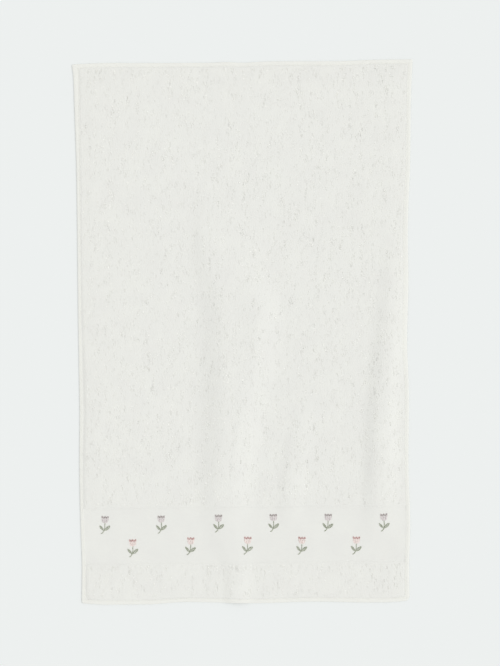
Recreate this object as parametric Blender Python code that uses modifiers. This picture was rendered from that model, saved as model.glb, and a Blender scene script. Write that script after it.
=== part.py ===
"""Hand towel: one piece of cotton terry, laid face up with the soft ridges it falls into.

The towel's own frame: the origin is on the surface it lies on, under the middle of its outline.
+X runs across the towel, +Y along it towards its plain end, and +Z up through its face.
The flat-woven border with its embroidery lies near the -Y end.
"""

import bmesh
import bpy
import numpy as np

MM = 0.001

# Driving sizes, in millimetres
WIDTH = 503.0               # across the plain end, its widest place
LENGTH = 800.0              # between the furthest points of the two ends
PILE_THICKNESS = 3.6        # terry, loops on both faces included
BORDER_THICKNESS = 1.6      # flat-woven band without loops
HEM_THICKNESS = 2.2         # ground cloth turned under twice and sewn down
EDGE_THICKNESS = 1.4        # where the hem's fold rounds off at its very edge
EDGE_ROUND = 1.5            # how far in from the edge a hem reaches its full thickness
STEP_RUN = 1.5              # how far the pile takes to rise beside a hem or the border
END_HEM_WIDTH = 6.5         # hems across the two ends
BORDER_ABOVE_END = 61.0     # from the -Y end to the border's lower side
BORDER_HEIGHT = 80.0

# Mesh density: the ridges run along Y, so they need close columns more than close rows
FIELD_COLUMNS = 38
MAIN_FIELD_ROWS = 30
BORDER_ROWS = 4
LOWER_FIELD_ROWS = 3
PLAIN_END_REACH = 3         # powers: the higher, the sooner the rows straighten away from an end
BORDERED_END_REACH = 12

# The long sides, from the +Y end to the -Y end: how far each stands in from half the width, and
# how wide its hem shows. The towel draws in by some 19 mm towards its bordered end.
SIDE_COLUMNS = ("along", "in", "hem")
LEFT_SIDE = (
    (400.0, 0.0, 10.0),
    (388.0, 1.6, 9.4),
    (340.0, 3.3, 7.5),
    (250.0, 5.6, 5.6),
    (150.0, 6.2, 4.6),
    (20.0, 6.4, 4.2),
    (-60.0, 7.0, 4.0),
    (-110.0, 7.4, 4.0),
    (-200.0, 6.3, 4.2),
    (-290.0, 7.5, 4.8),
    (-335.0, 8.7, 5.0),
    (-400.0, 7.8, 5.2),
)
RIGHT_SIDE = (
    (400.0, 0.0, 7.0),
    (363.0, 2.2, 6.5),
    (250.0, 5.0, 6.5),
    (147.0, 9.4, 7.0),
    (80.0, 9.0, 7.5),
    (-30.0, 11.6, 7.0),
    (-74.0, 10.1, 6.0),
    (-206.0, 11.3, 5.5),
    (-295.0, 9.7, 5.5),
    (-339.0, 11.6, 6.0),
    (-400.0, 11.5, 6.5),
)

# The two ends, from -X to +X: how far each stands in from half the length
END_COLUMNS = ("across", "in")
PLAIN_END = (
    (-251.0, 3.2),
    (-205.0, 1.6),
    (-150.0, 2.1),
    (-80.0, 2.4),
    (-44.0, 2.4),
    (-26.0, 1.6),
    (0.0, 2.8),
    (30.0, 1.5),
    (97.0, 1.6),
    (150.0, 1.7),
    (188.0, 0.4),
    (252.0, 0.0),
)
BORDERED_END = (
    (-245.0, 2.5),
    (-214.0, 0.3),
    (-139.0, 0.3),
    (-95.0, 3.1),
    (-51.0, 2.2),
    (-4.0, 0.6),
    (111.0, 1.9),
    (148.0, 0.8),
    (205.0, 0.0),
    (240.0, 2.2),
)

# How far each corner is rounded
CORNERS = {
    "plain left": 2.0,
    "plain right": 1.5,
    "bordered left": 3.0,
    "bordered right": 7.0,
}

# Soft ridges that the cloth rises into. A row for each section along a ridge: where its crest
# lies, how wide its left flank, its flat top and its right flank are, and how high it stands.
RIDGE_COLUMNS = ("along", "crest", "left", "top", "right", "height")
RIDGES = {
    "long ridge, from the middle to the bordered end": (
        (205.0, -58.0, 22.0, 0.0, 90.0, 0.0),
        (165.0, -56.0, 24.0, 4.0, 100.0, 1.6),
        (130.0, -52.0, 26.0, 6.0, 104.0, 3.0),
        (90.0, -32.0, 36.0, 24.0, 76.0, 4.2),
        (49.0, -8.0, 44.0, 44.0, 46.0, 5.4),
        (0.0, -8.0, 45.0, 38.0, 50.0, 6.8),
        (-42.0, -11.0, 46.0, 30.0, 56.0, 7.8),
        (-130.0, -22.0, 48.0, 12.0, 52.0, 7.7),
        (-219.0, -29.0, 44.0, 8.0, 46.0, 6.5),
        (-260.0, -31.0, 42.0, 8.0, 44.0, 4.0),
        (-300.0, -28.0, 34.0, 8.0, 40.0, 2.0),
        (-340.0, -18.0, 22.0, 6.0, 28.0, 2.4),
        (-385.0, -16.0, 18.0, 6.0, 24.0, 2.8),
        (-402.0, -16.0, 18.0, 6.0, 24.0, 2.4),
    ),
    "ridge near the right side": (
        (150.0, 222.0, 20.0, 0.0, 20.0, 0.0),
        (46.0, 219.0, 26.0, 4.0, 24.0, 3.0),
        (-12.0, 212.0, 28.0, 4.0, 28.0, 4.5),
        (-70.0, 206.0, 28.0, 4.0, 30.0, 5.0),
        (-130.0, 200.0, 28.0, 4.0, 32.0, 5.5),
        (-219.0, 196.0, 28.0, 4.0, 36.0, 5.5),
        (-262.0, 195.0, 28.0, 4.0, 36.0, 3.0),
        (-320.0, 194.0, 28.0, 4.0, 36.0, 0.0),
    ),
    "low ridge between them": (
        (-95.0, 82.0, 20.0, 0.0, 26.0, 0.0),
        (-160.0, 76.0, 20.0, 4.0, 26.0, 1.6),
        (-225.0, 66.0, 20.0, 4.0, 26.0, 2.4),
        (-262.0, 64.0, 20.0, 4.0, 26.0, 1.2),
        (-300.0, 64.0, 20.0, 4.0, 26.0, 0.0),
    ),
}


def through(table, columns, name, places):
    """One column of a table as a smooth curve along its first column, read at the given places.

    Between two rows it is the cubic whose value and slope match both rows; a row's slope is the
    one between its neighbours. Past the table's ends the curve keeps its end value.
    """
    rows = np.array(sorted(table))
    knots = rows[:, 0]
    values = rows[:, columns.index(name)]
    slopes = np.gradient(values, knots)
    places = np.clip(places, knots[0], knots[-1])
    before = np.clip(np.searchsorted(knots, places, side="right") - 1, 0, len(knots) - 2)
    span = knots[before + 1] - knots[before]
    t = (places - knots[before]) / span
    start = values[before] * (1 + 2 * t) * (1 - t) ** 2 + slopes[before] * span * t * (1 - t) ** 2
    end = values[before + 1] * t * t * (3 - 2 * t) - slopes[before + 1] * span * t * t * (1 - t)
    return start + end


def stands_in(edge, columns, places):
    """How far an edge stands in at the given places, and never out past its furthest point."""
    return np.maximum(through(edge, columns, "in", places), 0)


def ridge_height(ridge, x, y):
    """Height of one ridge: a raised cosine up each flank to a flat top, measured across X."""
    crest, left, top, right, height = (
        through(ridge, RIDGE_COLUMNS, name, y) for name in RIDGE_COLUMNS[1:]
    )
    past_top = np.abs(x - crest) - top / 2
    flank = np.where(x < crest, left, right)
    climb = np.clip(1 - past_top / flank, 0, 1)
    inside = (y <= ridge[0][0]) & (y >= ridge[-1][0])
    return np.where(inside, np.maximum(height, 0) * (1 - np.cos(np.pi * climb)) / 2, 0)


def underside(x, y):
    """Height of the cloth's underside over the surface: zero, or the highest ridge there."""
    return np.max([ridge_height(ridge, x, y) for ridge in RIDGES.values()], axis=0)


def grid_rows():
    """Straight heights of the grid's rows, from the -Y end to the +Y end, and their thickness."""
    end = LENGTH / 2
    border_low = BORDER_ABOVE_END - end
    border_high = border_low + BORDER_HEIGHT
    hem = np.array([0, EDGE_ROUND, END_HEM_WIDTH])
    pile_start = END_HEM_WIDTH + STEP_RUN
    lower = np.linspace(pile_start - end, border_low - STEP_RUN, LOWER_FIELD_ROWS + 1)
    border = np.linspace(border_low, border_high, BORDER_ROWS + 1)
    main = np.linspace(border_high + STEP_RUN, end - pile_start, MAIN_FIELD_ROWS + 1)
    heights = np.concatenate([hem - end, lower, border, main, end - hem[::-1]])
    hem_thickness = [EDGE_THICKNESS, HEM_THICKNESS, HEM_THICKNESS]
    thickness = np.concatenate([
        hem_thickness,
        np.full(len(lower), PILE_THICKNESS),
        np.full(len(border), BORDER_THICKNESS),
        np.full(len(main), PILE_THICKNESS),
        hem_thickness[::-1],
    ])
    return heights, thickness


def side_lines(side, sign, y):
    """The three lines of a side's hem and the pile's edge beside it, at the heights given."""
    edge = WIDTH / 2 - stands_in(side, SIDE_COLUMNS, y)
    hem = through(side, SIDE_COLUMNS, "hem", y)
    distances = (np.zeros_like(hem), np.full_like(hem, EDGE_ROUND), hem, hem + STEP_RUN)
    return [sign * (edge - distance) for distance in distances]


def grid_places():
    """Place and thickness of every grid point, as arrays of rows by columns.

    The outer columns keep their distance from their own side, and the columns of the field share
    the width between the two hems evenly. The rows bend to follow the ends near them.
    """
    heights, row_thickness = grid_rows()
    left = side_lines(LEFT_SIDE, -1, heights)
    right = side_lines(RIGHT_SIDE, 1, heights)[::-1]
    shares = np.linspace(0, 1, FIELD_COLUMNS + 1)[1:-1]
    field = [left[-1] + (right[0] - left[-1]) * share for share in shares]
    x = np.stack(left + field + right, axis=1)
    y = np.repeat(heights[:, None], x.shape[1], axis=1)
    towards_end = y / (LENGTH / 2)
    near_plain_end = np.clip(towards_end, 0, 1) ** PLAIN_END_REACH
    near_bordered_end = np.clip(-towards_end, 0, 1) ** BORDERED_END_REACH
    y = y - stands_in(PLAIN_END, END_COLUMNS, x) * near_plain_end
    y = y + stands_in(BORDERED_END, END_COLUMNS, x) * near_bordered_end
    hem_columns = [EDGE_THICKNESS, HEM_THICKNESS, HEM_THICKNESS]
    field_columns = [PILE_THICKNESS] * (x.shape[1] - 2 * len(hem_columns))
    column_thickness = np.array(hem_columns + field_columns + hem_columns[::-1])
    thickness = np.minimum(row_thickness[:, None], column_thickness[None, :])
    return x, y, thickness


def round_corner(x, y, corner_x, corner_y, radius):
    """Draw the points of one corner in onto arcs about the centre of its rounding.

    A point's place from that centre is shortened by the ratio of its longer part to its length,
    which turns the squares about the centre into circles.
    """
    towards_x = -np.sign(corner_x)
    towards_y = -np.sign(corner_y)
    centre_x = corner_x + towards_x * radius
    centre_y = corner_y + towards_y * radius
    from_x = x - centre_x
    from_y = y - centre_y
    inside = (from_x * towards_x < 0) & (from_y * towards_y < 0)
    longer = np.maximum(np.abs(from_x), np.abs(from_y))
    ratio = np.where(inside, longer / np.maximum(np.hypot(from_x, from_y), 1e-9), 1)
    return centre_x + from_x * ratio, centre_y + from_y * ratio


def towel_surface():
    """The underside's points and the cloth's thickness over each, rows by columns, in mm."""
    x, y, thickness = grid_places()
    corners = (
        (-1, 0, "plain left"),
        (-1, -1, "plain right"),
        (0, 0, "bordered left"),
        (0, -1, "bordered right"),
    )
    for row, column, name in corners:
        x, y = round_corner(x, y, x[row, column], y[row, column], CORNERS[name])
    return x, y, underside(x, y), thickness


def terry_material():
    """Off-white cotton terry."""
    material = bpy.data.materials.new("cotton_terry")
    material.use_nodes = True
    shader = material.node_tree.nodes["Principled BSDF"]
    shader.inputs["Base Color"].default_value = (0.80, 0.81, 0.77, 1.0)
    shader.inputs["Roughness"].default_value = 0.9
    shader.inputs["Metallic"].default_value = 0.0
    return material


def make_towel(collection):
    """A plane grid laid out to the towel's outline and ridges, thickened upwards by Solidify."""
    x, y, z, thickness = towel_surface()
    rows, columns = x.shape
    mesh = bpy.data.meshes.new("towel")
    grid = bmesh.new()
    bmesh.ops.create_grid(grid, x_segments=columns - 1, y_segments=rows - 1, size=1.0)
    towel = bpy.data.objects.new("towel", mesh)
    full_pile = towel.vertex_groups.new(name="thickness")
    weights = {}
    for vertex in grid.verts:
        column = round((vertex.co.x + 1) / 2 * (columns - 1))
        row = round((vertex.co.y + 1) / 2 * (rows - 1))
        weights[vertex.index] = thickness[row, column] / PILE_THICKNESS
        vertex.co = (x[row, column] * MM, y[row, column] * MM, z[row, column] * MM)
    grid.to_mesh(mesh)
    grid.free()
    for index, weight in weights.items():
        full_pile.add([index], weight, "REPLACE")
    mesh.materials.append(terry_material())
    mesh.shade_smooth()
    collection.objects.link(towel)
    solid = towel.modifiers.new("thickness", "SOLIDIFY")
    solid.thickness = PILE_THICKNESS * MM
    solid.offset = 1.0
    solid.vertex_group = full_pile.name
    return towel


def main():
    for thing in list(bpy.data.objects):
        bpy.data.objects.remove(thing, do_unlink=True)
    collection = bpy.data.collections.new("hand_towel")
    bpy.context.scene.collection.children.link(collection)
    make_towel(collection)


main()
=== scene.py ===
"""Hand towel: off-white cotton terry with a flat-woven border of small embroidered tulips.

Everything is worked out in millimetres in the towel's own frame, and turned to metres when a mesh
is made. +X runs across the towel, +Y along it towards its plain end, and +Z up through its face.
"""

import math

import bpy
import numpy as np
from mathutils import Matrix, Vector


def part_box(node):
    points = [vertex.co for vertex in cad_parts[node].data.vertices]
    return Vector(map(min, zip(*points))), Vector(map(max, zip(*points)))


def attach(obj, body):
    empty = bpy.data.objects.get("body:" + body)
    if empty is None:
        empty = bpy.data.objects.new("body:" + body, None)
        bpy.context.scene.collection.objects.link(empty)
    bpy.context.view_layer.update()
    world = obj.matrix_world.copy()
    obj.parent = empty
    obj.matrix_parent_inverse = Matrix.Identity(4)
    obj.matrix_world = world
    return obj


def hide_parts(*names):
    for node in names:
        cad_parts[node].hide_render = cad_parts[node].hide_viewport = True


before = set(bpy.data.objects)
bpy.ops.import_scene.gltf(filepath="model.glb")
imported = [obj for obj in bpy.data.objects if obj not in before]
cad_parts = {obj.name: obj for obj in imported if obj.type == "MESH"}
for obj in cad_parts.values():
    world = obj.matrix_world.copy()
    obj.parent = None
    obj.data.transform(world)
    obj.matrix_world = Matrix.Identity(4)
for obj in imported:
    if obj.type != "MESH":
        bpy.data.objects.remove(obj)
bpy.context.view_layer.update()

MM = 0.001

# ---------------------------------------------------------------------------------------------
# Sizes, in millimetres
# ---------------------------------------------------------------------------------------------

LOW_CORNER, HIGH_CORNER = (np.array(corner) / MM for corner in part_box("towel"))
HALF_WIDTH = (HIGH_CORNER[0] - LOW_CORNER[0]) / 2
HALF_LENGTH = (HIGH_CORNER[1] - LOW_CORNER[1]) / 2

GROUND_THICKNESS = 0.9      # the woven cloth that the loops stand on
GROUND_TOP = 1.9            # its face, over a back pile that the towel lies on
BORDER_TOP = 1.35           # without a back pile the border sinks almost to the surface
HEM_TOP = 1.5               # the hem's face: folded ground cloth
HEM_BACK = 0.2              # its back, which its stitches hold just off the surface
HEM_RIM = 0.6               # its outermost line
HEM_ROUND = 1.6             # how far in from there its fold is round
HEM_LAP = 0.1               # how far it covers the ground cloth past its inner line
GROUND_AT_HEM = HEM_BACK + GROUND_THICKNESS   # the ground cloth's face comes down to this
MARGIN = 24.0               # inside the hems, over so wide a strip
BACK_CLEAR = 0.02           # keeps the back just off the very plane of the surface
END_HEM = 6.5               # how wide the hems of the two ends show
BORDER_ABOVE_END = 61.0
BORDER_HEIGHT = 80.0
BORDER_LOW = BORDER_ABOVE_END - HALF_LENGTH
BORDER_HIGH = BORDER_LOW + BORDER_HEIGHT
BORDER_EASE = 9.0           # how far the cloth takes to sink inside the border
NAP = 1.38                  # the close mass of the loops' lower parts over the ground cloth
NAP_EDGE = 2.6              # how far it takes to rise beside a hem or the border
NAP_DASH = (2.6, 9.0)       # across and along: the size of its combed dashes
NAP_UNEVEN = 0.16           # share of its height by which they stand higher or lower
KNOB_HEIGHT = 0.85          # of the pile on the back
KNOB_UNEVEN = 0.45
KNOB_SIZE = 3.2
END_GAP = -1.0              # the loops crowd against the hems of the ends
LEAST_GAP = 0.3             # between the hem's inner line and the nap's first line of points
PILE_CORNER = 10.0          # the pile's rounding in the lower left corner

# The long sides, from the +Y end to the -Y end: how far each stands in from half the width, how
# wide its hem shows, and the bare gap between the hem and the first loops, which is less than
# zero where they crowd against it.
SIDE_COLUMNS = ("along", "in", "hem", "gap")
LEFT_SIDE = (
    (400.0, 0.0, 10.0, -1.0),
    (388.0, 1.6, 9.4, -1.0),
    (340.0, 3.3, 7.5, -1.0),
    (250.0, 5.6, 5.6, -1.0),
    (150.0, 6.2, 4.6, -0.6),
    (20.0, 6.4, 4.2, 0.4),
    (-60.0, 7.0, 4.0, 2.0),
    (-110.0, 7.4, 4.0, 2.6),
    (-200.0, 6.3, 4.2, 0.6),
    (-290.0, 7.5, 4.8, 0.2),
    (-335.0, 8.7, 5.0, 0.2),
    (-400.0, 7.8, 5.2, 0.2),
)
RIGHT_SIDE = (
    (400.0, 0.0, 7.0, -1.0),
    (363.0, 2.2, 6.5, -1.0),
    (250.0, 5.0, 6.5, -1.0),
    (147.0, 9.4, 7.0, -1.0),
    (80.0, 9.0, 7.5, -1.0),
    (-30.0, 11.6, 7.0, -1.0),
    (-74.0, 10.1, 6.0, -1.0),
    (-206.0, 11.3, 5.5, -1.0),
    (-295.0, 9.7, 5.5, -0.6),
    (-339.0, 11.6, 6.0, -0.6),
    (-400.0, 11.5, 6.5, -0.6),
)

# The two ends, from -X to +X: how far each stands in from half the length
END_COLUMNS = ("across", "in")
PLAIN_END = (
    (-251.0, 3.2),
    (-205.0, 1.6),
    (-150.0, 2.1),
    (-80.0, 2.4),
    (-44.0, 2.4),
    (-26.0, 1.6),
    (0.0, 2.8),
    (30.0, 1.5),
    (97.0, 1.6),
    (150.0, 1.7),
    (188.0, 0.4),
    (252.0, 0.0),
)
BORDERED_END = (
    (-245.0, 2.5),
    (-214.0, 0.3),
    (-139.0, 0.3),
    (-95.0, 3.1),
    (-51.0, 2.2),
    (-4.0, 0.6),
    (111.0, 1.9),
    (148.0, 0.8),
    (205.0, 0.0),
    (240.0, 2.2),
)
PLAIN_END_REACH = 3         # powers: the higher, the sooner the rows straighten away from an end
BORDERED_END_REACH = 12
CORNER_RADII = {"plain left": 2.0, "plain right": 1.5, "bordered left": 3.0, "bordered right": 7.0}

# Soft ridges that the cloth rises into. A row for each section along a ridge: where its crest
# lies, how wide its left flank, its flat top and its right flank are, and how high it stands.
RIDGE_COLUMNS = ("along", "crest", "left", "top", "right", "height")
RIDGES = {
    "long ridge, from the middle to the bordered end": (
        (205.0, -58.0, 22.0, 0.0, 90.0, 0.0),
        (165.0, -56.0, 24.0, 4.0, 100.0, 1.6),
        (130.0, -52.0, 26.0, 6.0, 104.0, 3.0),
        (90.0, -32.0, 36.0, 24.0, 76.0, 4.2),
        (49.0, -8.0, 44.0, 44.0, 46.0, 5.4),
        (0.0, -8.0, 45.0, 38.0, 50.0, 6.8),
        (-42.0, -11.0, 46.0, 30.0, 56.0, 7.8),
        (-130.0, -22.0, 48.0, 12.0, 52.0, 7.7),
        (-219.0, -29.0, 44.0, 8.0, 46.0, 6.5),
        (-260.0, -31.0, 42.0, 8.0, 44.0, 4.0),
        (-300.0, -28.0, 34.0, 8.0, 40.0, 2.0),
        (-340.0, -18.0, 22.0, 6.0, 28.0, 2.4),
        (-385.0, -16.0, 18.0, 6.0, 24.0, 2.8),
        (-402.0, -16.0, 18.0, 6.0, 24.0, 2.4),
    ),
    "ridge near the right side": (
        (150.0, 222.0, 20.0, 0.0, 20.0, 0.0),
        (46.0, 219.0, 26.0, 4.0, 24.0, 3.0),
        (-12.0, 212.0, 28.0, 4.0, 28.0, 4.5),
        (-70.0, 206.0, 28.0, 4.0, 30.0, 5.0),
        (-130.0, 200.0, 28.0, 4.0, 32.0, 5.5),
        (-219.0, 196.0, 28.0, 4.0, 36.0, 5.5),
        (-262.0, 195.0, 28.0, 4.0, 36.0, 3.0),
        (-320.0, 194.0, 28.0, 4.0, 36.0, 0.0),
    ),
    "low ridge between them": (
        (-95.0, 82.0, 20.0, 0.0, 26.0, 0.0),
        (-160.0, 76.0, 20.0, 4.0, 26.0, 1.6),
        (-225.0, 66.0, 20.0, 4.0, 26.0, 2.4),
        (-262.0, 64.0, 20.0, 4.0, 26.0, 1.2),
        (-300.0, 64.0, 20.0, 4.0, 26.0, 0.0),
    ),
}

# Rows and columns of the cloth's grid, which is closest at the hems and the border
PAST_HEM = 3.4              # from a hem's last row of points to the next one
STRIP_PITCH = 4.8           # rows of the strip below the border
STRIP_END = 6.5             # where they stop short of the border
BESIDE_BORDER = (0.5, NAP_EDGE / 2, NAP_EDGE, 4.5)   # rows on either side of it
PAST_BORDER = 8.5           # from the border to the first row of the main field
BORDER_ROWS = 21
MAIN_ROWS = 126
COLUMNS = 154               # between the two long hems

# Loops of the pile, combed down towards the -Y end
LOOP_ACROSS = 2.5           # spacing across the towel
LOOP_ALONG = 6.0            # spacing along it
LOOP_LENGTH = 9.2           # from a loop's feet to its tip
LOOP_OPEN = 1.2             # between the middles of its two legs
LOOP_RISE = 1.0             # its middle line over the ground cloth
YARN_RADIUS = 0.62
LOOP_SUNK = 0.45            # how far the loops at the pile's very edge sink into the ground cloth
LOOP_EDGE = 4.0             # how far they take to rise beside it
LOOP_TWIST = math.radians(50)   # of the yarn from one of a loop's six sections to the next
COMB_WIDTH = 2.8            # streaks in which the loops stand higher or lower together
COMB_LENGTH = 17.0
COLUMN_WANDER = 1.3         # of the columns of loops, to either side
WANDER_FROM_HEM = 12.0      # where they begin to, away from the side hems
SHORTEST_LOOP = 3.0         # where the border or a hem cuts it short
LOOP_INSIDE = 1.0           # how far the middle of a loop lies inside the pile's outline at least
STRIP_GAP = 0.4             # from the border to the first feet of the strip below it
LOOP_LEAN = math.radians(5)   # a usual lean to either side
LOOP_DRIFT = 26.0           # the size of the patches that lean the same way
LENGTH_DRIFT = 30.0         # and of those with longer or shorter loops
COLUMN_DRIFT = 22.0         # and of those whose columns wander together
LEG_ALONG = (0.0, 0.45, 0.93, 0.93, 0.45, 0.0)          # a loop's six sections: shares of its length,
LEG_SIDEWAYS = (-0.32, -0.5, -0.36, 0.36, 0.5, 0.32)    # of its opening
LEG_HEIGHT = (-0.35, 1.0, 0.82, 0.82, 1.0, -0.35)       # and of its rise
PILE_BANDS = 4              # the main field's loops are shared between so many pieces

# Hem stitching
STITCH_PITCH = 3.0
STITCH_LENGTH = 2.6
STITCH_RADIUS = 0.26
STITCH_IN = 1.3             # from a hem's inner line to its row of stitches
STITCH_GROOVE = 0.18        # how deep they draw it in
GROOVE_WIDTH = 0.6          # from their line to where the groove has nearly faded
GROOVE_SPREAD = 0.7         # from their line to the cloth's next line of points
STITCH_ARCH = 0.16          # how far a stitch stands over the cloth
STITCH_BACK = 0.24          # how far the back's stitches sink into the hem
FIRST_STITCH = 4.0          # how far from a corner the rows begin

# Embroidery: the middle of each tulip, across and along the towel
LILAC_TULIPS = (
    (-208.3, -282.0),
    (-125.0, -282.0),
    (-40.5, -281.0),
    (40.4, -281.1),
    (120.5, -281.5),
    (203.1, -281.6),
)
BLUSH_TULIPS = (
    (-167.4, -316.6),
    (-82.2, -314.5),
    (1.7, -314.2),
    (81.6, -315.1),
    (161.9, -315.4),
)
THREAD_PITCH = 0.42
THREAD_RADIUS = 0.27
THREAD_TWIST = math.radians(20)
THREAD_ARCH = 0.24          # how far a stitch stands over the cloth
THREAD_CLEAR = 0.05         # and how far more over the border
THREAD_SHAKE = 0.10         # by which a stitch is usually out of its place
THREAD_STRETCH = 0.22       # by which it is usually too long or too short
TULIP_TURN = math.radians(2.2)   # a usual turn to either side
PLY_ANGLE = 80              # degrees: yarn edges sharper than this show as plies
GOLDEN_ANGLE = math.radians(137.5)   # no two neighbours wind alike
NOISE_GRID = 256            # random values each way, after which they repeat


# ---------------------------------------------------------------------------------------------
# The towel's shape
# ---------------------------------------------------------------------------------------------


def through(table, columns, name, places):
    """One column of a table as a smooth curve along its first column, read at the given places.

    Between two rows it is the cubic whose value and slope match both rows; a row's slope is the
    one between its neighbours. Past the table's ends the curve keeps its end value.
    """
    rows = np.array(sorted(table))
    knots = rows[:, 0]
    values = rows[:, columns.index(name)]
    slopes = np.gradient(values, knots)
    places = np.clip(places, knots[0], knots[-1])
    before = np.clip(np.searchsorted(knots, places, side="right") - 1, 0, len(knots) - 2)
    span = knots[before + 1] - knots[before]
    t = (places - knots[before]) / span
    start = values[before] * (1 + 2 * t) * (1 - t) ** 2 + slopes[before] * span * t * (1 - t) ** 2
    end = values[before + 1] * t * t * (3 - 2 * t) - slopes[before + 1] * span * t * t * (1 - t)
    return start + end


def eased(t):
    """From 0 to 1 and back level at both: three times the square less twice the cube."""
    t = np.clip(t, 0, 1)
    return t * t * (3 - 2 * t)


def ridge_height(ridge, x, y):
    """Height of one ridge: a raised cosine up each flank to a flat top, measured across X."""
    crest, left, top, right, height = (
        through(ridge, RIDGE_COLUMNS, name, y) for name in RIDGE_COLUMNS[1:]
    )
    past_top = np.abs(x - crest) - top / 2
    flank = np.where(x < crest, left, right)
    climb = np.clip(1 - past_top / flank, 0, 1)
    inside = (y <= ridge[0][0]) & (y >= ridge[-1][0])
    return np.where(inside, np.maximum(height, 0) * (1 - np.cos(np.pi * climb)) / 2, 0)


def lift(x, y):
    """How high the cloth lies over the surface: zero, or the highest ridge there."""
    return np.max([ridge_height(ridge, x, y) for ridge in RIDGES.values()], axis=0)


def side_x(side, sign, y, inwards):
    """X of a line that runs a distance inside a long side, at heights y."""
    stands_in = np.maximum(through(side, SIDE_COLUMNS, "in", y), 0)
    return sign * (HALF_WIDTH - stands_in - inwards)


def bend_rows(x, y):
    """Heights y of straight rows, bent to follow the wandering ends near them."""
    towards_end = y / HALF_LENGTH
    near_plain_end = np.clip(towards_end, 0, 1) ** PLAIN_END_REACH
    near_bordered_end = np.clip(-towards_end, 0, 1) ** BORDERED_END_REACH
    plain_in = np.maximum(through(PLAIN_END, END_COLUMNS, "in", x), 0)
    bordered_in = np.maximum(through(BORDERED_END, END_COLUMNS, "in", x), 0)
    return y - plain_in * near_plain_end + bordered_in * near_bordered_end


def ground_top(x, y):
    """Level of the ground cloth's face: it comes down towards the hems, which lie on the surface,
    and sinks across the border, where no back pile lifts it.
    """
    from_left = x - side_x(LEFT_SIDE, -1, y, through(LEFT_SIDE, SIDE_COLUMNS, "hem", y))
    from_right = side_x(RIGHT_SIDE, 1, y, through(RIGHT_SIDE, SIDE_COLUMNS, "hem", y)) - x
    from_ends = HALF_LENGTH - END_HEM - np.abs(y)
    inside_hems = np.min([from_left, from_right, from_ends], axis=0)
    top = GROUND_AT_HEM + (GROUND_TOP - GROUND_AT_HEM) * eased(inside_hems / MARGIN)
    into_border = np.minimum(y - BORDER_LOW, BORDER_HIGH - y) / BORDER_EASE
    return top + (BORDER_TOP - top) * eased(into_border)


def inside_pile(x, y):
    """How far inside the pile's outline a place lies, and less than zero outside it."""
    from_left = x - side_x(LEFT_SIDE, -1, y, hem_and_gap(LEFT_SIDE, y))
    from_right = side_x(RIGHT_SIDE, 1, y, hem_and_gap(RIGHT_SIDE, y)) - x
    from_ends = HALF_LENGTH - END_HEM - END_GAP - np.abs(y)
    from_border = np.maximum(BORDER_LOW - y, y - BORDER_HIGH)
    nearest = np.min([from_left, from_right, from_ends, from_border], axis=0)
    in_corner = (from_left < PILE_CORNER) & (from_ends < PILE_CORNER) & (y < 0)
    past_centre = np.hypot(PILE_CORNER - from_left, PILE_CORNER - from_ends)
    return np.where(in_corner, np.minimum(nearest, PILE_CORNER - past_centre), nearest)


def hem_and_gap(side, y):
    """How far in from a long side the pile begins."""
    return through(side, SIDE_COLUMNS, "hem", y) + through(side, SIDE_COLUMNS, "gap", y)


def round_corner(x, y, corner_x, corner_y, radius):
    """Draw the points of one corner in onto arcs about the centre of its rounding.

    A point's place from that centre is shortened by the ratio of its longer part to its length,
    which turns the squares about the centre into circles.
    """
    towards_x = -np.sign(corner_x)
    towards_y = -np.sign(corner_y)
    centre_x = corner_x + towards_x * radius
    centre_y = corner_y + towards_y * radius
    from_x = x - centre_x
    from_y = y - centre_y
    inside = (from_x * towards_x < 0) & (from_y * towards_y < 0)
    longer = np.maximum(np.abs(from_x), np.abs(from_y))
    ratio = np.where(inside, longer / np.maximum(np.hypot(from_x, from_y), 1e-9), 1)
    return centre_x + from_x * ratio, centre_y + from_y * ratio


def soft_noise(x, y, cell, seed):
    """Smooth random values from -1 to 1: random numbers on a square grid, eased between."""
    values = np.random.default_rng(seed).uniform(-1, 1, (NOISE_GRID, NOISE_GRID))
    across = x / cell
    along = y / cell
    column = np.floor(across).astype(int)
    row = np.floor(along).astype(int)
    u = eased(across - column)
    v = eased(along - row)
    left = column % NOISE_GRID
    right = (column + 1) % NOISE_GRID
    low_row = row % NOISE_GRID
    high_row = (row + 1) % NOISE_GRID
    low = values[low_row, left] * (1 - u) + values[low_row, right] * u
    high = values[high_row, left] * (1 - u) + values[high_row, right] * u
    return low * (1 - v) + high * v


# ---------------------------------------------------------------------------------------------
# Meshes
# ---------------------------------------------------------------------------------------------


def mesh_piece(name, points, faces, material, maps, weights=None, sharp=None):
    """A smooth mesh from points in millimetres and groups of faces of equal corner counts.

    maps holds UV places for every face corner, and weights one number for every point. Edges
    that bend by more than sharp, in degrees, stay crisp.
    """
    mesh = bpy.data.meshes.new(name)
    corners = np.concatenate([group.ravel() for group in faces])
    sizes = np.concatenate([np.full(len(group), group.shape[1]) for group in faces])
    mesh.vertices.add(len(points))
    mesh.vertices.foreach_set("co", (points * MM).astype(np.float32).ravel())
    mesh.loops.add(len(corners))
    mesh.loops.foreach_set("vertex_index", corners.astype(np.int32))
    mesh.polygons.add(len(sizes))
    starts = np.concatenate([[0], np.cumsum(sizes)[:-1]])
    mesh.polygons.foreach_set("loop_start", starts.astype(np.int32))
    mesh.update(calc_edges=True)
    for map_name, places in maps.items():
        layer = mesh.uv_layers.new(name=map_name)
        layer.data.foreach_set("uv", places.astype(np.float32).ravel())
    for weight_name, values in (weights or {}).items():
        attribute = mesh.attributes.new(weight_name, "FLOAT", "POINT")
        attribute.data.foreach_set("value", values.astype(np.float32).ravel())
    mesh.materials.append(material)
    mesh.shade_smooth()
    if sharp is not None:
        mesh.set_sharp_from_angle(angle=math.radians(sharp))
    piece = bpy.data.objects.new(name, mesh)
    bpy.context.scene.collection.objects.link(piece)
    return piece


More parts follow.
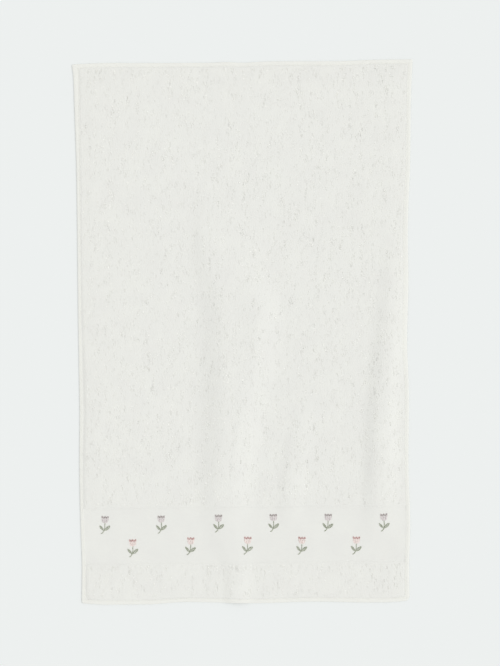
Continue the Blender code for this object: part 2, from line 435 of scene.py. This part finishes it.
def unit(vectors):
    """Vectors of length one in the same directions."""
    return vectors / np.maximum(np.linalg.norm(vectors, axis=-1, keepdims=True), 1e-9)


def strands(paths, radii, twist, sides=3):
    """Many closed tubes at once: paths is strands by points by 3, radii strands by points.

    Round each path point stands a ring square to the path, turned further by the twist at each
    point, so that the tube's edges wind like plies, and every strand starts to wind elsewhere.
    The first and last rings have a cap. The yarn map holds the strand's number and its share
    round the strand across, and millimetres along it upwards. The bake map gives every strand a
    cell of its own in a square of cells: its walls lie in the middle of the cell, with the discs
    of its two caps below and above them.
    """
    count, sections, _ = paths.shape
    tangent = unit(np.gradient(paths, axis=1))
    across = unit(np.cross(tangent, (0.0, 0.0, 1.0)))
    over = np.cross(across, tangent)
    turn = 2 * np.pi * np.arange(sides) / sides + np.pi / 2
    started = GOLDEN_ANGLE * np.arange(count)[:, None, None]
    wound = turn + twist * np.arange(sections)[:, None] + started
    ring = np.cos(wound)[..., None] * across[:, :, None, :]
    ring = ring + np.sin(wound)[..., None] * over[:, :, None, :]
    points = paths[:, :, None, :] + radii[:, :, None, None] * ring

    index = np.arange(count * sections * sides).reshape(count, sections, sides)
    following = np.roll(index, -1, axis=2)
    walls = np.stack(
        [index[:, :-1], index[:, 1:], following[:, 1:], following[:, :-1]], axis=-1
    ).reshape(-1, 4)
    caps = np.concatenate([index[:, 0, :], index[:, -1, ::-1]])

    steps = np.linalg.norm(np.diff(paths, axis=1), axis=-1)
    run = np.concatenate([np.zeros((count, 1)), np.cumsum(steps, axis=1)], axis=1)
    side = np.arange(sides) / sides
    number = np.arange(count)[:, None]
    once_round = 0.999
    yarn_walls = wall_corners(number[..., None] + side * once_round, once_round / sides, run)
    start_caps = np.stack(np.broadcast_arrays(number + side * once_round, 0.0), -1)
    end_caps = np.stack(np.broadcast_arrays(number + side * once_round, run[:, -1:]), -1)
    yarn = np.concatenate([yarn_walls, start_caps.reshape(-1, 2), end_caps.reshape(-1, 2)])

    cells = math.ceil(math.sqrt(count))
    corner = np.stack([np.arange(count) % cells, np.arange(count) // cells], -1)
    share = np.linspace(0.12, 0.88, sections)
    left = corner[:, None, :1] + 0.05 + side * 0.9
    walls_in_cells = wall_corners(left, 0.9 / sides, corner[:, 1:] + share)
    disc = np.stack([np.cos(turn), np.sin(turn)], -1) * 0.035
    start_discs = corner[:, None, :] + disc + (0.5, 0.055)
    end_discs = corner[:, None, :] + disc[::-1] + (0.5, 0.945)
    bake = [walls_in_cells, start_discs.reshape(-1, 2), end_discs.reshape(-1, 2)]
    return points.reshape(-1, 3), [walls, caps], {"yarn": yarn, "OFBake": np.concatenate(bake) / cells}


def wall_corners(left, width, levels):
    """Map places of the walls' corners: strands by sections by sides, in the walls' own order.

    left is where each side begins across, and levels is where each section lies upwards.
    """
    low, high, left = np.broadcast_arrays(levels[:, :-1, None], levels[:, 1:, None], left)
    right = left + width
    corners = [(left, low), (left, high), (right, high), (right, low)]
    return np.stack([np.stack(place, -1) for place in corners], axis=-2).reshape(-1, 2)


# ---------------------------------------------------------------------------------------------
# Materials
# ---------------------------------------------------------------------------------------------


def linear(hex_colour):
    """An sRGB colour such as "F0EFE9" as linear red, green, blue and alpha."""
    parts = np.array([int(hex_colour[i:i + 2], 16) for i in (0, 2, 4)]) / 255
    low = parts / 12.92
    high = ((parts + 0.055) / 1.055) ** 2.4
    return (*np.where(parts <= 0.04045, low, high).tolist(), 1.0)


def add(tree, kind, inputs=None, **settings):
    """Add a node: its settings by name, and its inputs by socket as a value or a linked output."""
    node = tree.nodes.new(kind)
    for name, value in settings.items():
        setattr(node, name, value)
    for socket, value in (inputs or {}).items():
        if isinstance(value, bpy.types.NodeSocket):
            tree.links.new(value, node.inputs[socket])
        else:
            node.inputs[socket].default_value = value
    return node


def new_material(name, **sockets):
    """A material with its shader's own sockets set, its node tree and its shader."""
    material = bpy.data.materials.new(name)
    material.use_nodes = True
    tree = material.node_tree
    shader = tree.nodes["Principled BSDF"]
    for socket, value in sockets.items():
        shader.inputs[socket.replace("_", " ")].default_value = value
    return material, tree, shader


def between(tree, share, *colours):
    """The colour a share of the way from one to another, each in hex or as a linked output."""
    mix = add(tree, "ShaderNodeMix", data_type="RGBA")
    tree.links.new(share, mix.inputs["Factor"])
    ends = [socket for socket in mix.inputs if socket.type == "RGBA"]
    for socket, colour in zip(ends, colours):
        if isinstance(colour, str):
            socket.default_value = linear(colour)
        else:
            tree.links.new(colour, socket)
    return next(socket for socket in mix.outputs if socket.type == "RGBA")


def twisted_yarn(name, colours, twist, depth, **sockets):
    """Spun yarn: every strand of its own tone between two, partly painted light and shade where the
    two lie far apart, and the lines of its twist as bump.

    The yarn map's whole number across is the strand's own. The lines slant by one turn in the
    twist's millimetres, and lie two turns apart.
    """
    material, tree, shader = new_material(name, **sockets)
    places = add(tree, "ShaderNodeUVMap", uv_map="yarn").outputs["UV"]
    across = add(tree, "ShaderNodeSeparateXYZ", {"Vector": places}).outputs["X"]
    strand = add(tree, "ShaderNodeMath", {0: across}, operation="FLOOR").outputs["Value"]
    # A tone for each strand, at random between the two colours; for the terry this wide spread is
    # partly painted light and shade
    tone = add(tree, "ShaderNodeTexWhiteNoise", {"W": strand}, noise_dimensions="1D")
    tree.links.new(between(tree, tone.outputs["Value"], *colours), shader.inputs["Base Color"])
    slant = add(tree, "ShaderNodeMapping", {"Vector": places, "Scale": (1.0, 1 / twist, 1.0)})
    two_turns = 0.31
    lines = add(tree, "ShaderNodeTexWave",
                {"Vector": slant.outputs["Vector"], "Scale": two_turns, "Distortion": 0.6},
                wave_type="BANDS", bands_direction="DIAGONAL")
    bump = add(tree, "ShaderNodeBump",
               {"Height": lines.outputs["Fac"], "Strength": 0.6, "Distance": depth * MM})
    tree.links.new(bump.outputs["Normal"], shader.inputs["Normal"])
    return material


def terry_cotton():
    """Bleached ring-spun cotton in open loops: matt, a little fuzzy, and bright right through."""
    return twisted_yarn(
        # The strands' tones spread from pure white to a dull grey-white: partly a tone that differs
        # from strand to strand, partly painted light and shade standing for loops that catch more or
        # less of the light
        "bleached_cotton_terry", ("FFFFFA", "E3E3DE"), twist=1.6, depth=0.10,
        Roughness=0.9, Sheen_Weight=0.15, Sheen_Roughness=0.6,
    )


def woven_ground():
    """Plain-woven cotton: matt, with fine ribs one way and the other; loops on its pile side.

    The real threads lie 0.5 mm apart. The ribs are drawn 1 mm apart so that they show. The folded
    layers of a hem look whiter than the single cloth of the border. The nap is broken up by round
    cells 1.4 mm wide and about twice as long, like the lower parts of the loops.
    """
    material, tree, shader = new_material(
        "woven_cotton_ground", Roughness=0.85, Sheen_Weight=0.1, Sheen_Roughness=0.5,
    )
    places = add(tree, "ShaderNodeTexCoord").outputs["Object"]
    noise = add(tree, "ShaderNodeTexNoise",
                {"Vector": places, "Scale": 1 / (30 * MM), "Detail": 3.0})
    drift = noise.outputs["Fac"]
    is_hem = add(tree, "ShaderNodeAttribute", attribute_name="hem").outputs["Fac"]
    is_terry = add(tree, "ShaderNodeAttribute", attribute_name="terry").outputs["Fac"]
    border = between(tree, drift, "EFF0EA", "E9E9E5")
    hems = between(tree, drift, "F2F3EC", "EDEDE8")
    nap = between(tree, drift, "EEEFE9", "E7E7E3")
    woven = between(tree, is_hem, border, hems)
    tree.links.new(between(tree, is_terry, woven, nap), shader.inputs["Base Color"])
    rib_scale = 0.314 / (1.0 * MM)   # the texture's lines lie 0.314 apart at a scale of one
    warp = add(tree, "ShaderNodeTexWave",
               {"Vector": places, "Scale": rib_scale, "Distortion": 0.8},
               wave_type="BANDS", bands_direction="X")
    weft = add(tree, "ShaderNodeTexWave",
               {"Vector": places, "Scale": rib_scale, "Distortion": 0.8},
               wave_type="BANDS", bands_direction="Y")
    weave = add(tree, "ShaderNodeMath", operation="MULTIPLY")
    tree.links.new(warp.outputs["Fac"], weave.inputs[0])
    tree.links.new(weft.outputs["Fac"], weave.inputs[1])
    stretched = add(tree, "ShaderNodeMapping", {"Vector": places, "Scale": (1.0, 0.45, 1.0)})
    cells = add(tree, "ShaderNodeTexVoronoi",
                {"Vector": stretched.outputs["Vector"], "Scale": 1 / (1.4 * MM)},
                feature="SMOOTH_F1")
    fall = -1.8                      # from a cell's middle to its edge
    loops = add(tree, "ShaderNodeMath",
                {0: cells.outputs["Distance"], 1: fall}, operation="MULTIPLY")
    height = add(tree, "ShaderNodeMix", data_type="FLOAT")
    tree.links.new(is_terry, height.inputs[0])
    tree.links.new(weave.outputs["Value"], height.inputs[2])
    tree.links.new(loops.outputs["Value"], height.inputs[3])
    bump = add(tree, "ShaderNodeBump",
               {"Height": height.outputs[0], "Strength": 0.5, "Distance": 0.25 * MM})
    tree.links.new(bump.outputs["Normal"], shader.inputs["Normal"])
    return material


def sewing_thread():
    """Spun sewing thread of the hems, as white as the cloth and a little smoother."""
    return twisted_yarn(
        "spun_sewing_thread", ("F3F3EE", "EDEDE6"), twist=1.0, depth=0.05,
        Roughness=0.7, Sheen_Weight=0.1,
    )


def embroidery_thread(name, colours):
    """Stranded embroidery thread: smooth floss with a soft sheen along the stitches."""
    return twisted_yarn(
        name, colours, twist=1.2, depth=0.04,
        Roughness=0.55, Sheen_Weight=0.2, Sheen_Roughness=0.4,
    )


# ---------------------------------------------------------------------------------------------
# The woven cloth with its hems
# ---------------------------------------------------------------------------------------------


def hem_stations(width, gap):
    """Distances in from an edge across a hem: close round its fold, its stitches and the nap."""
    stitch = width - STITCH_IN
    nap = width + np.maximum(gap, LEAST_GAP)
    stations = np.stack(np.broadcast_arrays(
        0.0, 0.1 * HEM_ROUND, 0.35 * HEM_ROUND, HEM_ROUND, (HEM_ROUND + stitch) / 2,
        stitch - GROOVE_SPREAD, stitch, stitch + GROOVE_SPREAD, width,
        nap, nap + NAP_EDGE / 2, nap + NAP_EDGE,
    ))
    return np.sort(stations, axis=0)


def hem_fold(distance):
    """Share of its height that a hem's round fold has gained: a quarter circle, from 0 to 1."""
    rise = np.clip(distance / HEM_ROUND, 0, 1)
    return np.sqrt(1 - (1 - rise) ** 2)


def hem_face(distance, width):
    """Level of a hem's face: up from its rim, with a groove where it is sewn."""
    groove = STITCH_GROOVE * np.exp(-((distance - width + STITCH_IN) / GROOVE_WIDTH) ** 2)
    return HEM_RIM + (HEM_TOP - HEM_RIM) * hem_fold(distance) - groove


def hem_back(distance):
    """Level of a hem's back: down from its rim, and flat."""
    return HEM_RIM + (HEM_BACK - HEM_RIM) * hem_fold(distance)


def cloth_grid():
    """Places of the cloth's grid, rows by columns, and the straight heights of its rows.

    Columns keep their distance from their own side across the hems and share the field between.
    """
    end = hem_stations(END_HEM, END_GAP)
    beside_border = np.array(BESIDE_BORDER)
    lower = np.arange(end[-1] - HALF_LENGTH + PAST_HEM, BORDER_LOW - STRIP_END, STRIP_PITCH)
    border = np.linspace(BORDER_LOW, BORDER_HIGH, BORDER_ROWS)
    main = np.linspace(BORDER_HIGH + PAST_BORDER, HALF_LENGTH - end[-1] - PAST_HEM, MAIN_ROWS)
    heights = np.concatenate([
        end - HALF_LENGTH, lower, BORDER_LOW - beside_border[::-1], border,
        BORDER_HIGH + beside_border, main, HALF_LENGTH - end[::-1],
    ])
    sides = []
    for side, sign in ((LEFT_SIDE, -1), (RIGHT_SIDE, 1)):
        hem = through(side, SIDE_COLUMNS, "hem", heights)
        gap = through(side, SIDE_COLUMNS, "gap", heights)
        sides.append([side_x(side, sign, heights, distance) for distance in hem_stations(hem, gap)])
    left, right = sides
    shares = np.linspace(0, 1, COLUMNS)[1:-1]
    field = [left[-1] + (right[-1] - left[-1]) * share for share in shares]
    x = np.stack(left + field + right[::-1], axis=1)
    return x, np.repeat(heights[:, None], x.shape[1], axis=1)


def cloth_levels(x, y):
    """Levels of the cloth's face and back over the surface it lies on, leaving out the ridges.

    The ground cloth keeps its thickness, the hems close down over it along the four edges, and
    the nap of the loops' lower parts stands on both sides of it, in combed dashes.
    """
    cloth = ground_top(x, y)
    edges = (
        (x - side_x(LEFT_SIDE, -1, y, 0), through(LEFT_SIDE, SIDE_COLUMNS, "hem", y)),
        (side_x(RIGHT_SIDE, 1, y, 0) - x, through(RIGHT_SIDE, SIDE_COLUMNS, "hem", y)),
        (HALF_LENGTH - np.abs(y), np.full_like(y, END_HEM)),
    )
    hem_faces = []
    hem_backs = []
    for distance, width in edges:
        inside = distance < width + HEM_LAP
        hem_faces.append(np.where(inside, hem_face(distance, width), np.inf))
        hem_backs.append(np.where(inside, hem_back(distance), np.inf))
    in_hem = np.isfinite(np.min(hem_faces, axis=0))
    face = np.where(in_hem, np.min(hem_faces, axis=0), cloth)
    back = np.where(in_hem, np.min(hem_backs, axis=0), cloth - GROUND_THICKNESS)
    rim = np.min([distance for distance, _ in edges], axis=0)
    back = np.where(rim < HEM_ROUND, hem_back(rim), back)
    pile = eased(inside_pile(x, y) / NAP_EDGE)
    across, along = NAP_DASH
    combed = soft_noise(x, y * across / along, across, seed=12)
    nap = NAP * (1 + NAP_UNEVEN * combed) * pile
    knobs = (KNOB_HEIGHT + KNOB_UNEVEN * soft_noise(x, y, KNOB_SIZE, seed=11)) * pile
    return face + nap, np.maximum(back - knobs, BACK_CLEAR), pile, in_hem


def grid_faces(index):
    """Every square of a grid of point numbers, anticlockwise from its lower left corner."""
    corners = [index[:-1, :-1], index[:-1, 1:], index[1:, 1:], index[1:, :-1]]
    return np.stack(corners, -1).reshape(-1, 4)


def make_ground_cloth(material):
    """One closed sheet: a face and a back on the same grid, which share its outermost points."""
    x, flat_y = cloth_grid()
    face, back, pile, in_hem = cloth_levels(x, flat_y)
    y = bend_rows(x, flat_y)
    corners = (
        (-1, 0, "plain left"),
        (-1, -1, "plain right"),
        (0, 0, "bordered left"),
        (0, -1, "bordered right"),
    )
    for row, column, name in corners:
        x, y = round_corner(x, y, x[row, column], y[row, column], CORNER_RADII[name])
    ground = lift(x, y)
    face_grid = np.stack([x, y, ground + face], -1)
    back_grid = np.stack([x, y, ground + back], -1)

    rows, columns = x.shape
    face_index = np.arange(rows * columns).reshape(rows, columns)
    back_index = face_index.copy()
    inner = (rows - 2, columns - 2)
    back_index[1:-1, 1:-1] = rows * columns + np.arange(inner[0] * inner[1]).reshape(inner)
    points = np.concatenate([face_grid.reshape(-1, 3), back_grid[1:-1, 1:-1].reshape(-1, 3)])
    weights = {
        name: np.concatenate([values.ravel(), values[1:-1, 1:-1].ravel()])
        for name, values in (("terry", pile), ("hem", in_hem))
    }
    face_quads = grid_faces(face_index)
    back_quads = grid_faces(back_index)[:, ::-1]

    room = 1.02
    flat = points[:, :2] / (2 * HALF_LENGTH * room) + 0.5
    half = (0.5, 1.0)
    face_places = flat[face_quads.ravel()] * half
    back_places = flat[back_quads.ravel()] * half + (0.5, 0.0)
    bake = np.concatenate([face_places, back_places])
    faces = np.concatenate([face_quads, back_quads])
    return mesh_piece("ground_cloth", points, [faces], material, {"OFBake": bake}, weights)


# ---------------------------------------------------------------------------------------------
# The pile
# ---------------------------------------------------------------------------------------------


def loop_feet(low, high, seed):
    """Places of loops between two heights: in columns of uneven spacing that wander a little
    together, as the combed pile does, each with its own start and a small shift for every loop.
    """
    rng = np.random.default_rng(seed)
    rows = np.arange(high, low, -LOOP_ALONG)
    count = int(2 * HALF_WIDTH / LOOP_ACROSS)
    column = np.cumsum(rng.uniform(0.8, 1.2, count))
    shape = (len(rows), count)
    y = rows[:, None] + (rng.uniform(0, 1, count) + rng.uniform(-0.15, 0.15, shape)) * LOOP_ALONG
    y = np.minimum(y, high)
    left = side_x(LEFT_SIDE, -1, y, hem_and_gap(LEFT_SIDE, y) + LOOP_OPEN)
    right = side_x(RIGHT_SIDE, 1, y, hem_and_gap(RIGHT_SIDE, y) + LOOP_OPEN)
    x = left + (right - left) * column / column[-1]
    free = eased(np.minimum(x - left, right - x) / WANDER_FROM_HEM)
    wander = COLUMN_WANDER * soft_noise(x, y, COLUMN_DRIFT, seed=24)
    x = x + free * (wander + rng.normal(0, 0.12, shape))
    room = y - low
    middle = y - np.minimum(room, LOOP_LENGTH) / 2
    kept = (room > SHORTEST_LOOP) & (inside_pile(x, middle) > LOOP_INSIDE)
    return x[kept], y[kept], room[kept], rng


def loop_paths(x, y, room, rng):
    """A hairpin of yarn for every pair of feet: down one leg, round the tip and back up.

    Each loop leans by a slow drift and a little of its own, and lies on the row below it.
    """
    count = len(x)
    lean = LOOP_LEAN * (rng.normal(0, 1, count) + 1.2 * soft_noise(x, y, LOOP_DRIFT, seed=21))
    longer = 1 + 0.08 * soft_noise(x, y, LENGTH_DRIFT, seed=22)
    length = LOOP_LENGTH * rng.uniform(0.82, 1.14, count) * longer
    length = np.minimum(length, room + rng.uniform(-1.2, 0.8, count))
    opened = LOOP_OPEN * rng.uniform(0.8, 1.2, count)
    combed = soft_noise(x, y * COMB_WIDTH / COMB_LENGTH, COMB_WIDTH, seed=23)
    rise = LOOP_RISE * rng.uniform(0.82, 1.18, count) * (1 + 0.12 * combed)
    down = np.array(LEG_ALONG) * length[:, None]
    out = np.array(LEG_SIDEWAYS) * opened[:, None]
    height = np.array(LEG_HEIGHT) * rise[:, None]
    path_x = x[:, None] + out * np.cos(lean)[:, None] + down * np.sin(lean)[:, None]
    path_y = y[:, None] - down * np.cos(lean)[:, None] + out * np.sin(lean)[:, None]
    risen = eased(inside_pile(path_x, path_y) / LOOP_EDGE)
    level = ground_top(path_x, path_y) + height * risen - LOOP_SUNK * (1 - risen)
    path_y = bend_rows(path_x, path_y)
    return np.stack([path_x, path_y, lift(path_x, path_y) + level], -1)


def make_pile(material):
    """The loops of the main field in bands of their own, and those of the strip below the border."""
    top = HALF_LENGTH - END_HEM - END_GAP
    edges = np.linspace(top, BORDER_HIGH, PILE_BANDS + 1)
    x, y, room, rng = loop_feet(BORDER_HIGH, top, seed=31)
    paths = loop_paths(x, y, room, rng)
    band = np.searchsorted(-edges[1:-1], -(BORDER_HIGH + room))
    groups = {f"pile_band_{i + 1}": paths[band == i] for i in range(PILE_BANDS)}
    x, y, room, rng = loop_feet(-top, BORDER_LOW - STRIP_GAP, seed=32)
    groups["pile_lower_strip"] = loop_paths(x, y, room, rng)
    pieces = []
    for name, group in groups.items():
        points, faces, maps = strands(group, np.full(group.shape[:2], YARN_RADIUS), LOOP_TWIST)
        pieces.append(mesh_piece(name, points, faces, material, maps, sharp=PLY_ANGLE))
    return pieces


# ---------------------------------------------------------------------------------------------
# Stitches
# ---------------------------------------------------------------------------------------------


def laid_threads(start, end, radius, arch, level, facing=1):
    """Stitches from start to end as arched threads: in at both ends and raised between.

    level gives the cloth's height at a place, and facing is 1 on the face and -1 on the back.
    """
    share = np.array([0.0, 0.22, 0.78, 1.0])
    raised = np.array([-1.2, 1.0, 1.0, -1.2]) * arch
    place = start[:, None, :] + (end - start)[:, None, :] * share[:, None]
    z = level(place[..., 0], place[..., 1]) + facing * raised
    return np.concatenate([place, z[..., None]], -1), np.full(place.shape[:2], radius)


def hem_rows():
    """Start and end of every hem stitch: one row along each side and one across each end."""
    far = HALF_LENGTH - FIRST_STITCH
    y = np.arange(-far, far - STITCH_LENGTH, STITCH_PITCH)
    rows = []
    for side, sign in ((LEFT_SIDE, -1), (RIGHT_SIDE, 1)):
        ends = [
            side_x(side, sign, at, through(side, SIDE_COLUMNS, "hem", at) - STITCH_IN)
            for at in (y, y + STITCH_LENGTH)
        ]
        start = np.stack([ends[0], bend_rows(ends[0], y)], -1)
        stop = np.stack([ends[1], bend_rows(ends[1], y + STITCH_LENGTH)], -1)
        rows.append((start, stop))
    for sign in (-1, 1):
        at = sign * (HALF_LENGTH - END_HEM + STITCH_IN)
        left = side_x(LEFT_SIDE, -1, np.float64(at), FIRST_STITCH)
        right = side_x(RIGHT_SIDE, 1, np.float64(at), FIRST_STITCH)
        x = np.arange(left, right - STITCH_LENGTH, STITCH_PITCH)
        y = np.full_like(x, at)
        start = np.stack([x, bend_rows(x, y)], -1)
        stop = np.stack([x + STITCH_LENGTH, bend_rows(x + STITCH_LENGTH, y)], -1)
        rows.append((start, stop))
    return tuple(np.concatenate(places) for places in zip(*rows))


def make_hem_stitches(material):
    """The lockstitch that holds the hems, on the face and on the back."""
    start, stop = hem_rows()
    rows = (
        ("hem_stitches_face", 1, HEM_TOP - STITCH_GROOVE),
        ("hem_stitches_back", -1, HEM_BACK + STITCH_BACK),
    )
    pieces = []
    for name, facing, height in rows:
        paths, radii = laid_threads(
            start, stop, STITCH_RADIUS, STITCH_ARCH, lambda x, y: lift(x, y) + height, facing
        )
        points, faces, maps = strands(paths, radii, THREAD_TWIST)
        pieces.append(mesh_piece(name, points, faces, material, maps, sharp=PLY_ANGLE))
    return pieces


def tulip():
    """Stitches of one tulip by thread, as starts and ends about its middle, in millimetres.

    The cup is filled with upright satin stitches that spread from its base, whose outline is part
    of an ellipse. Its tips, in the darker thread, end in three points: a cosine without its sign.
    Each leaf is a slanting satin on both sides of a midrib, and the stem and its bent tail are
    short stitches across their line.
    """
    cup_half_width = 5.3
    from_tip_to_tip = 4.6
    x = np.arange(-cup_half_width, cup_half_width + 0.01, THREAD_PITCH)
    peaks = np.abs(np.cos(np.pi * x / from_tip_to_tip))
    low = 1.9 + 3.6 * (1 - np.sqrt(1 - (x / 5.7) ** 2))
    top = 11.2 + 1.9 * peaks
    middle = top - 2.2 - peaks
    cup = (np.stack([0.80 * x, low], -1), np.stack([x, middle], -1))
    tips = (np.stack([0.99 * x, middle - 0.2], -1), np.stack([0.94 * x, top], -1))
    joint = np.array([-0.9, -9.2])
    green = [
        leaf(joint, np.array([-7.4, -1.6]), half_width=1.7, midrib=0.10),
        leaf(joint + (0.5, 0.1), np.array([7.6, -1.8]), half_width=2.35, midrib=0.22),
        cross_stitched(np.array([[0.1, 2.2], [0.2, -4.0], joint]), width=1.2),
        cross_stitched(np.array([joint, [-2.6, -11.6], [-4.9, -13.4]]), width=1.3),
    ]
    return {"cup": cup, "tips": tips, "green": tuple(np.concatenate(ends) for ends in zip(*green))}


def leaf(base, tip, half_width, midrib):
    """Slanting stitches on both sides of a leaf from base to tip, with a gap for the midrib.

    At each share of the way to the tip, it reaches out by the half width times the sine of half
    a turn of that share. The share is raised a little, so the leaf is widest nearer its base.
    """
    axis = tip - base
    length = np.hypot(*axis)
    axis = axis / length
    normal = np.array([-axis[1], axis[0]])
    t = np.arange(THREAD_PITCH, length - 0.3, THREAD_PITCH * 1.05) / length
    least = 0.25
    reach = np.maximum(half_width * np.sin(np.pi * t ** 0.85), least)
    ahead = 0.14
    slanted = np.minimum((t + ahead) * length, length)
    starts = []
    ends = []
    for side in (-1, 1):
        starts.append(base + axis * (t * length)[:, None] + normal * (side * midrib))
        ends.append(base + axis * slanted[:, None] + normal * (side * reach)[:, None])
    return np.concatenate(starts), np.concatenate(ends)


def cross_stitched(line, width):
    """Short stitches across a bent line, a thread apart and a little slanted."""
    steps = np.hypot(*np.diff(line, axis=0).T)
    run = np.concatenate([[0], np.cumsum(steps)])
    first = 0.2
    at = np.arange(first, run[-1], THREAD_PITCH)
    middle = np.stack([np.interp(at, run, line[:, 0]), np.interp(at, run, line[:, 1])], -1)
    along = unit(np.gradient(middle, axis=0))
    across = np.stack([along[:, 1], -along[:, 0]], -1)
    ahead = 0.35
    half_stitch = across * width / 2 + along * ahead
    return middle - half_stitch, middle + half_stitch


def make_embroidery():
    """Eleven tulips in two staggered rows, each a little turned and with stitches of its own."""
    rng = np.random.default_rng(41)
    drawn = tulip()
    threads = {
        "tulip_cups_lilac": ("cup", LILAC_TULIPS, ("ECE6E5", "E2DCDB")),
        "tulip_tips_mauve": ("tips", LILAC_TULIPS, ("C5BDBB", "B8B0AE")),
        "tulip_cups_blush": ("cup", BLUSH_TULIPS, ("FAEFEB", "F5E8E3")),
        "tulip_tips_rose": ("tips", BLUSH_TULIPS, ("DAB9B6", "CEABA7")),
        "tulip_leaves_sage": ("green", LILAC_TULIPS + BLUSH_TULIPS, ("BBC0AE", "AEB4A1")),
    }
    turns = {place: rng.normal(0, TULIP_TURN) for place in LILAC_TULIPS + BLUSH_TULIPS}
    pieces = []
    for name, (part, places, colours) in threads.items():
        starts, ends = drawn[part]
        all_starts = []
        all_ends = []
        for place in places:
            cosine = math.cos(turns[place])
            sine = math.sin(turns[place])
            spin = np.array([[cosine, sine], [-sine, cosine]])
            shake = rng.normal(0, THREAD_SHAKE, starts.shape)
            stretch = rng.normal(0, THREAD_STRETCH, ends.shape) * (0.3, 1.0)
            all_starts.append((starts + shake) @ spin + place)
            all_ends.append((ends + shake + stretch) @ spin + place)
        paths, radii = laid_threads(
            np.concatenate(all_starts), np.concatenate(all_ends), THREAD_RADIUS, THREAD_ARCH,
            lambda x, y: lift(x, y) + ground_top(x, y) + THREAD_CLEAR,
        )
        points, faces, maps = strands(paths, radii, THREAD_TWIST)
        floss = embroidery_thread(name + "_floss", colours)
        pieces.append(mesh_piece(name, points, faces, floss, maps, sharp=PLY_ANGLE))
    return pieces


# ---------------------------------------------------------------------------------------------
# Floor, light and camera
# ---------------------------------------------------------------------------------------------


def make_studio():
    """A plain pale floor, an even sky of soft light and one broad light from the right."""
    bpy.ops.mesh.primitive_plane_add(size=40.0)
    floor = bpy.context.active_object
    floor.name = "floor"
    material, _, _ = new_material("matt_pale_floor", Roughness=1.0, Base_Color=linear("EEF1F0"))
    material.node_tree.nodes["Principled BSDF"].inputs["Specular IOR Level"].default_value = 0.0
    floor.data.materials.append(material)
    world = bpy.data.worlds.new("studio")
    world.use_nodes = True
    sky = world.node_tree.nodes["Background"]
    sky.inputs["Color"].default_value = (1.0, 1.0, 1.0, 1.0)
    sky.inputs["Strength"].default_value = 0.828
    bpy.context.scene.world = world
    key = bpy.data.lights.new("key", "SUN")
    key.energy = 0.8
    key.angle = math.radians(35)
    light = bpy.data.objects.new("key", key)
    light.rotation_euler = (0, math.radians(50), 0)
    bpy.context.scene.collection.objects.link(light)


def make_camera():
    """Straight over the towel, a touch to its right, turned by half a degree."""
    data = bpy.data.cameras.new("camera")
    data.lens = 85.0
    data.sensor_width = 36.0
    view_height = 980.4
    pile_level = 3.6
    distance = data.lens / data.sensor_width * view_height
    camera = bpy.data.objects.new("camera", data)
    camera.location = (8.1 * MM, -1.3 * MM, (distance + pile_level) * MM)
    camera.rotation_euler = (0, 0, math.radians(-0.5))
    bpy.context.scene.collection.objects.link(camera)
    bpy.context.scene.camera = camera


def main():
    """Set up the studio, make the towel's pieces, and set each to ride on the root body."""
    scene = bpy.context.scene
    scene.view_settings.view_transform = "Standard"
    make_studio()
    make_camera()
    terry = terry_cotton()
    cloth = make_ground_cloth(woven_ground())
    pile = make_pile(terry)
    stitches = make_hem_stitches(sewing_thread())
    embroidery = make_embroidery()
    slots = [([cloth], "cotton_ground"), (pile, "cotton_terry"),
             (stitches, "cotton_ground"), (embroidery, "embroidery_thread")]
    for pieces, slot in slots:
        for piece in pieces:
            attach(piece, "root")
    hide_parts("towel")


main()
